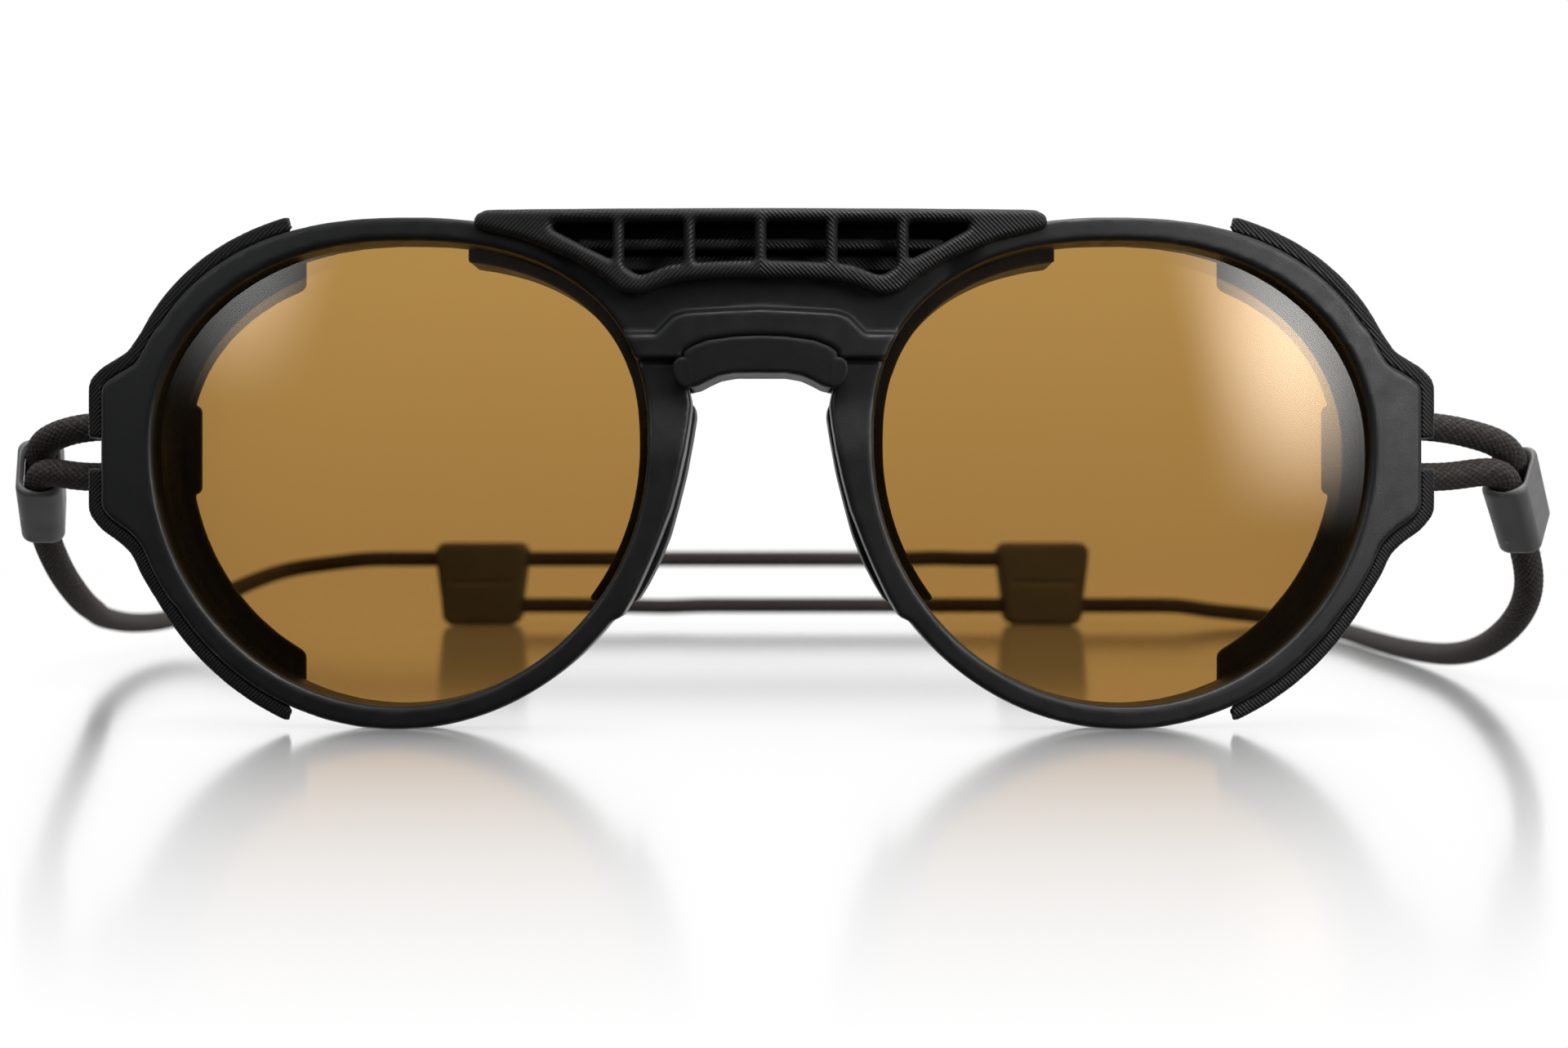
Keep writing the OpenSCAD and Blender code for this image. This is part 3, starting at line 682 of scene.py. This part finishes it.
def main_path(s, side):
    """From the ferrule back to the rear corner and across into the other side's slider."""
    m, r, a = s["mouth"], s["run"], s["across"]
    z = REAR_Z[side]
    sag = 0.85 if side < 0 else 1.2
    corner = np.array([CORNER_X, REAR_Y, z - sag])
    head = [m - a + k * r for k in (5.5, 8, 10.5)]
    way = smooth([m - a + 11.5 * r, *s["way"], corner], 14)
    x = np.arange(CORNER_X - 3, REAR_END[side], -2.5)
    x = np.append(x, REAR_END[side])
    # straight wherever the slider travels, waving a little near the slider that holds its end
    inner = step((-14 - x) / 10) * step((x - REAR_END[side] - SLIDER[0]) / 10)
    wave = inner * (0.55 * np.sin(x / 11.0 + side) + 0.3 * np.sin(x / 5.3 + 2 * side))
    rear = np.stack([x, REAR_Y + 0.35 * wave, z + wave * (0.8 if z > 5 else 0.35)
                     - sag * step((x - 89) / 7)], 1)
    return np.concatenate([head, way, rear])


def even(p, spacing):
    """Points at an even spacing along a path, and how far along each of them is."""
    leg = np.linalg.norm(np.diff(p, axis=0), axis=1)
    s = np.concatenate([[0], np.cumsum(leg)])
    t = np.linspace(0, s[-1], int(s[-1] / spacing) + 1)
    return np.stack([np.interp(t, s, p[:, i]) for i in range(3)], 1), t


def blur(head, p, tail, w):
    q = np.concatenate([head, p, tail])
    return np.stack([np.convolve(q[:, i], w, "valid") for i in range(3)], 1)


def resample(p, ds, soften):
    """Points ds apart along a path, with its kinks eased over soften millimetres."""
    coarse = 0.5
    p, _ = even(p, coarse)
    half = int(3 * soften / coarse)
    w = np.exp(-0.5 * (np.arange(-half, half + 1) * coarse / soften) ** 2)
    w /= w.sum()
    # mirrored beyond its ends, so that they stay in place
    p = blur(2 * p[0] - p[half:0:-1], p, 2 * p[-1] - p[-2:-half - 2:-1], w)
    p, t = even(p, ds)
    return blur(p[:2], p, p[-2:], np.array([1, 4, 6, 4, 1]) / 16.0), t


def braided(name, path, ds, side, soften, around=64, carriers=16):
    """A braided cord along a path, with one row of points every ds millimetres."""
    p, s = resample(path, ds, 0.5)
    # bends are eased more where the cord is free than round the hook and at its ends
    loose, _ = resample(path, ds, soften)
    t = np.linspace(0, 1, len(p))
    loose = np.stack([np.interp(t, np.linspace(0, 1, len(loose)), loose[:, i])
                      for i in range(3)], 1)
    ends = step(np.minimum(t, 1 - t) * s[-1] / 3.0)
    p += (loose - p) * (step((p[:, 0] - 73.5) / 3.0) * ends)[:, None]
    tan = np.gradient(p, axis=0)
    tan /= np.linalg.norm(tan, axis=1, keepdims=True)
    normal = np.zeros_like(p)
    v = np.cross(tan[0], [0.3, 0.2, 0.9])
    for i in range(len(p)):
        v = v - tan[i] * (v @ tan[i])
        v /= np.linalg.norm(v)
        normal[i] = v
    across = np.cross(tan, normal)
    # two sets of yarns wind opposite ways and pass over and under each other
    th = 2 * np.pi * np.arange(around) / around
    pitch = 2 * np.pi * CORD_R / carriers * 1.6
    u = carriers * th[None, :] / (2 * np.pi) + s[:, None] / pitch
    w = carriers * th[None, :] / (2 * np.pi) - s[:, None] / pitch
    ru, rw = np.round(u), np.round(w)
    ha = np.sqrt(np.maximum(0, 1 - (1.9 * (u - ru)) ** 2)) + 0.45 * np.cos(np.pi * (w + ru))
    hb = np.sqrt(np.maximum(0, 1 - (1.9 * (w - rw)) ** 2)) + 0.45 * np.cos(np.pi * (u + rw + 1))
    top = np.maximum(ha, hb)
    r = CORD_R - 0.15 + 0.15 * np.clip(top, 0, 1.45) / 1.45
    co = (p[:, None, :] + r[:, :, None] * (np.cos(th)[None, :, None] * normal[:, None, :]
                                           + np.sin(th)[None, :, None] * across[:, None, :]))
    n, m = len(p), around
    i, k = np.meshgrid(np.arange(n - 1), np.arange(m), indexing="ij")
    k1 = (k + 1) % m
    quads = np.stack([i * m + k, i * m + k1, (i + 1) * m + k1, (i + 1) * m + k], -1).reshape(-1, 4)
    co = co.reshape(-1, 3)
    quads = np.concatenate([quads, cap(0, m, 1), cap((n - 1) * m, m, -1)])
    ob = add_mesh(name, co, quads[:, ::-1], BRAID, None, flip=side < 0)
    # which yarn is on top, its own tone, and the way its fibres run
    which = ha > hb
    seed = np.where(which, ru * 12.99, rw * 78.23 + 5)
    tone = np.abs(np.sin(seed % carriers * 4.7 + 1.3))
    fibre = np.where(which, u - 0.6 * w, w - 0.6 * u)
    for key, value in (("braid", np.clip(top / 1.45, 0, 1)), ("yarn_tone", tone), ("fibre", fibre)):
        at = ob.data.attributes.new(key, "FLOAT", "POINT")
        at.data.foreach_set("value", value.astype(np.float32).ravel())
    return ob


for side, s in SIDES.items():
    word = s["word"]
    loop = braided("cord_strands_" + word, strand_path(s), 0.2, side, 2.2)
    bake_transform(loop)
    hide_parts("cord_loop_" + word)
    run = braided("cord_run_" + word, main_path(s, side), 0.225, side, 2.5)
    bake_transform(run)
    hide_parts("cord_side_" + word, "cord_rear_" + word)


# ---------------------------------------------------------------- ferrules and sliders
def ferrule_shape(u, v, w):
    """Sleeve: both strands go in at the mouth, and one leaves at the far end."""
    taper = 1 - 0.05 * np.clip(w / FERRULE[2], 0, 1)
    body = rmax(np.abs(u) - FERRULE[0] / 2 * taper, np.abs(v) - FERRULE[1] / 2 * taper, 1.5)
    f = rmax(body, np.maximum(-w, w - FERRULE[2]), 0.7)
    slot = np.sqrt(u * u + np.maximum(np.abs(v) - STRAND_GAP, 0) ** 2) - SLIDE_R
    single = np.sqrt(u * u + (v + STRAND_GAP) ** 2) - BORE_R
    bore = np.where(w < FERRULE[2] - 3.4, slot, single)
    flare = 0.35 * step((0.9 - w) / 0.9)
    return rmax(f, -(bore - flare), 0.25)


co, quads = nets(ferrule_shape, (-3.6, -5.2, -0.6), (3.6, 5.2, 11.1), 0.2)
for side, s in SIDES.items():
    v = unit(s["across"])
    u = np.cross(v, s["run"])
    placed = s["mouth"] + co[:, :1] * u + co[:, 1:2] * v + co[:, 2:] * s["run"]
    add_mesh("cord_ferrule_" + s["word"], placed, quads, SLEEVE, "strap_" + s["word"],
             ["ferrule_" + s["word"]], side < 0)


def slider_shape(through, fixed, toward):
    """Block with a bore at one height for the running cord and a blind hole at another."""
    def shape(x, y, z):
        half = SLIDER[0] / 2 - SLIDER_LEAN * step(1 - z / SLIDER[2])
        f = rmax(np.abs(x) - half, np.abs(z - SLIDER[2] / 2) - SLIDER[2] / 2, 2.4)
        f = rmax(f, np.abs(y) - SLIDER[1] / 2, 1.3)
        groove = np.sqrt((np.abs(y) - SLIDER[1] / 2 - 0.25) ** 2 + ((z - 9.3) / 1.0) ** 2) - 0.55
        f = rmax(f, -np.maximum(groove, np.abs(x) - half + 2.5), 0.2)
        bore = np.sqrt(y * y + (z - through) ** 2) - SLIDE_R
        blind = np.maximum(np.sqrt(y * y + (z - fixed) ** 2) - BORE_R, -toward * x - 4)
        return rmax(f, -np.minimum(bore, blind), 0.3)
    return shape


for word, through, fixed, toward in (("left", REAR_Z[-1], REAR_Z[1], 1),
                                     ("right", REAR_Z[1], REAR_Z[-1], -1)):
    co, quads = nets(slider_shape(through, fixed, toward), (-10.6, -4.1, -0.6),
                     (10.6, 4.1, 18.6), 0.26)
    body = "tail_right" if word == "left" else "tail_left"
    add_mesh("cord_slider_" + word, co + np.array([SLIDER_X[word], REAR_Y, 0]), quads, TOGGLE,
             body, ["slider_" + word])

# the inner crimps keep their CAD shapes
for node in ("ferrule_crimp_left", "ferrule_crimp_right", "cord_end_crimp_left",
             "cord_end_crimp_right"):
    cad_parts[node].data.materials.clear()
    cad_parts[node].data.materials.append(METAL)


# ---------------------------------------------------------------- floor, light and camera
def studio_floor():
    """Glossy white table: white to the camera, with reflections that fade towards the front."""
    xs = np.linspace(-3, 3, 25)
    ys = np.linspace(-2, 5, 29)
    co = [(x, y, -0.0001) for y in ys for x in xs]
    n = len(xs)
    faces = [(i * n + k, i * n + k + 1, (i + 1) * n + k + 1, (i + 1) * n + k)
             for i in range(len(ys) - 1) for k in range(n - 1)]
    me = bpy.data.meshes.new("studio_floor")
    me.from_pydata(co, [], faces)
    me.shade_smooth()
    ob = bpy.data.objects.new("studio_floor", me)
    bpy.context.scene.collection.objects.link(ob)
    m = Nodes("studio_white")
    # the mirror part: from just before the glasses to far behind them, seen from the front
    y = m.add("SeparateXYZ", {0: m.place}).outputs["Y"]
    front = m.ramp(y, FRONT_Y / 1000 - 0.095, FRONT_Y / 1000 + 0.005, 0.0, 0.8)
    far = m.ramp(y, 0.15, 0.6, 1.0, 0.0)
    toward = m.add("SeparateXYZ", {0: m.add("NewGeometry").outputs["Incoming"]}).outputs["Y"]
    share = m.math("MULTIPLY", m.math("POWER", front, 1.15), far)
    share = m.math("MULTIPLY", share, m.ramp(toward, -0.8, -0.5, 1.0, 0.0))
    # what the camera sees, with a painted contact shadow where the glasses touch the table
    near = m.add("AmbientOcclusion", {"Distance": 0.012}, samples=6).outputs["AO"]
    white = m.add("Emission", {"Color": (1, 1, 1, 1), "Strength": m.ramp(near, 0.0, 1.0, 0.3, 1.0)})
    mirror = m.add("BsdfGlossy", {"Color": (1, 1, 1, 1), "Roughness": 0.14})
    seen = m.add("MixShader", {0: share, 1: white.outputs[0], 2: mirror.outputs[0]})
    # what other rays meet: dull for soft light, and nothing at all for mirrored light
    matte = m.add("BsdfDiffuse", {"Color": (0.12, 0.12, 0.12, 1)})
    clear = m.add("BsdfTransparent")
    path = m.add("LightPath")
    soft = m.add("MixShader", {0: path.outputs["Is Diffuse Ray"], 1: clear.outputs[0],
                               2: matte.outputs[0]})
    final = m.add("MixShader", {0: path.outputs["Is Camera Ray"], 1: soft.outputs[0],
                                2: seen.outputs[0]})
    m.tree.links.new(final.outputs[0], m.out.inputs[0])
    me.materials.append(m.mat)


def soft_box(name, place, aim, size, radiance, edge=0.35, colour=(1, 1, 1)):
    """Area light whose brightness falls off smoothly over its edges."""
    light = bpy.data.lights.new(name, "AREA")
    light.shape = "RECTANGLE"
    light.size, light.size_y = size
    light.energy = radiance * math.pi * size[0] * size[1]
    light.color = colour
    light.use_nodes = True
    tree = light.node_tree
    emit = [n for n in tree.nodes if n.type == "EMISSION"][0]
    where = add_node(tree, "SeparateXYZ",
                     {0: add_node(tree, "NewGeometry").outputs["Parametric"]})
    fades = []
    for axis in (0, 1):
        away = add_node(tree, "Math", {0: where.outputs[axis], 1: 0.5}, operation="PINGPONG")
        fades.append(add_node(tree, "MapRange", {0: away.outputs[0], 1: 0.0, 2: edge},
                              interpolation_type="SMOOTHSTEP").outputs[0])
    both = add_node(tree, "Math", {0: fades[0], 1: fades[1]}, operation="MULTIPLY")
    tree.links.new(both.outputs[0], emit.inputs["Strength"])
    ob = bpy.data.objects.new(name, light)
    ob.location = place
    ob.rotation_euler = (Vector(aim) - Vector(place)).to_track_quat("-Z", "Y").to_euler()
    bpy.context.scene.collection.objects.link(ob)


def studio_world():
    """Pale room behind the glasses and dark in front of them; plain white to the camera."""
    world = bpy.data.worlds.new("studio")
    world.use_nodes = True
    tree = world.node_tree
    back = [n for n in tree.nodes if n.type == "BACKGROUND"][0]
    back.inputs["Color"].default_value = (1, 1, 1, 1)
    way = add_node(tree, "SeparateXYZ", {0: add_node(tree, "TexCoord").outputs["Generated"]})
    upper = add_node(tree, "MapRange", {0: way.outputs["Z"], 1: 0.0, 2: 0.6, 3: 0.005, 4: 0.16},
                     interpolation_type="SMOOTHSTEP")
    rise = add_node(tree, "MapRange", {0: way.outputs["Y"], 1: -0.15, 2: 0.45,
                                       3: upper.outputs[0], 4: 1.0},
                    interpolation_type="SMOOTHSTEP")
    seen = add_node(tree, "LightPath").outputs["Is Camera Ray"]
    plain = add_node(tree, "Math", {0: seen, 1: rise.outputs[0]}, operation="MAXIMUM")
    tree.links.new(plain.outputs[0], back.inputs["Strength"])
    bpy.context.scene.world = world


studio_floor()
front_m = FRONT_Y / 1000
soft_box("key_right", (0.298, front_m - 0.235, 0.15), (0.059, front_m, 0.042), (0.22, 0.36),
         11.0, 0.5)
soft_box("fill_left", (-0.30, front_m - 0.23, 0.21), (-0.055, front_m, 0.045), (0.18, 0.26),
         4.0, 0.5, (0.93, 0.97, 1.0))
soft_box("top_soft", (0.06, front_m - 0.06, 0.34), (0.01, front_m + 0.02, 0.03), (0.42, 0.3), 6.5)
soft_box("bridge_soft", (0.004, front_m - 0.075, 0.135), (0.002, front_m, 0.045), (0.07, 0.05), 5.0)

studio_world()
bpy.context.scene.view_settings.view_transform = "Standard"

# level camera in front, a little right of the middle, focused on the front of the glasses
EYE = Vector((0.0025, front_m - 0.160, 0.02207))
focus = bpy.data.objects.new("focus_point", None)
focus.location = (0, front_m + 0.006, EYE.z)
bpy.context.scene.collection.objects.link(focus)
cam = bpy.data.cameras.new("camera")
cam.lens, cam.sensor_width = 34.5, 36.0
cam.clip_start, cam.clip_end = 0.01, 20.0
cam.dof.use_dof = True
cam.dof.focus_object = focus
cam.dof.aperture_fstop = 22.0
cam_ob = bpy.data.objects.new("camera", cam)
cam_ob.location = EYE
cam_ob.rotation_euler = (math.pi / 2, 0, 0)
bpy.context.scene.collection.objects.link(cam_ob)
bpy.context.scene.camera = cam_ob
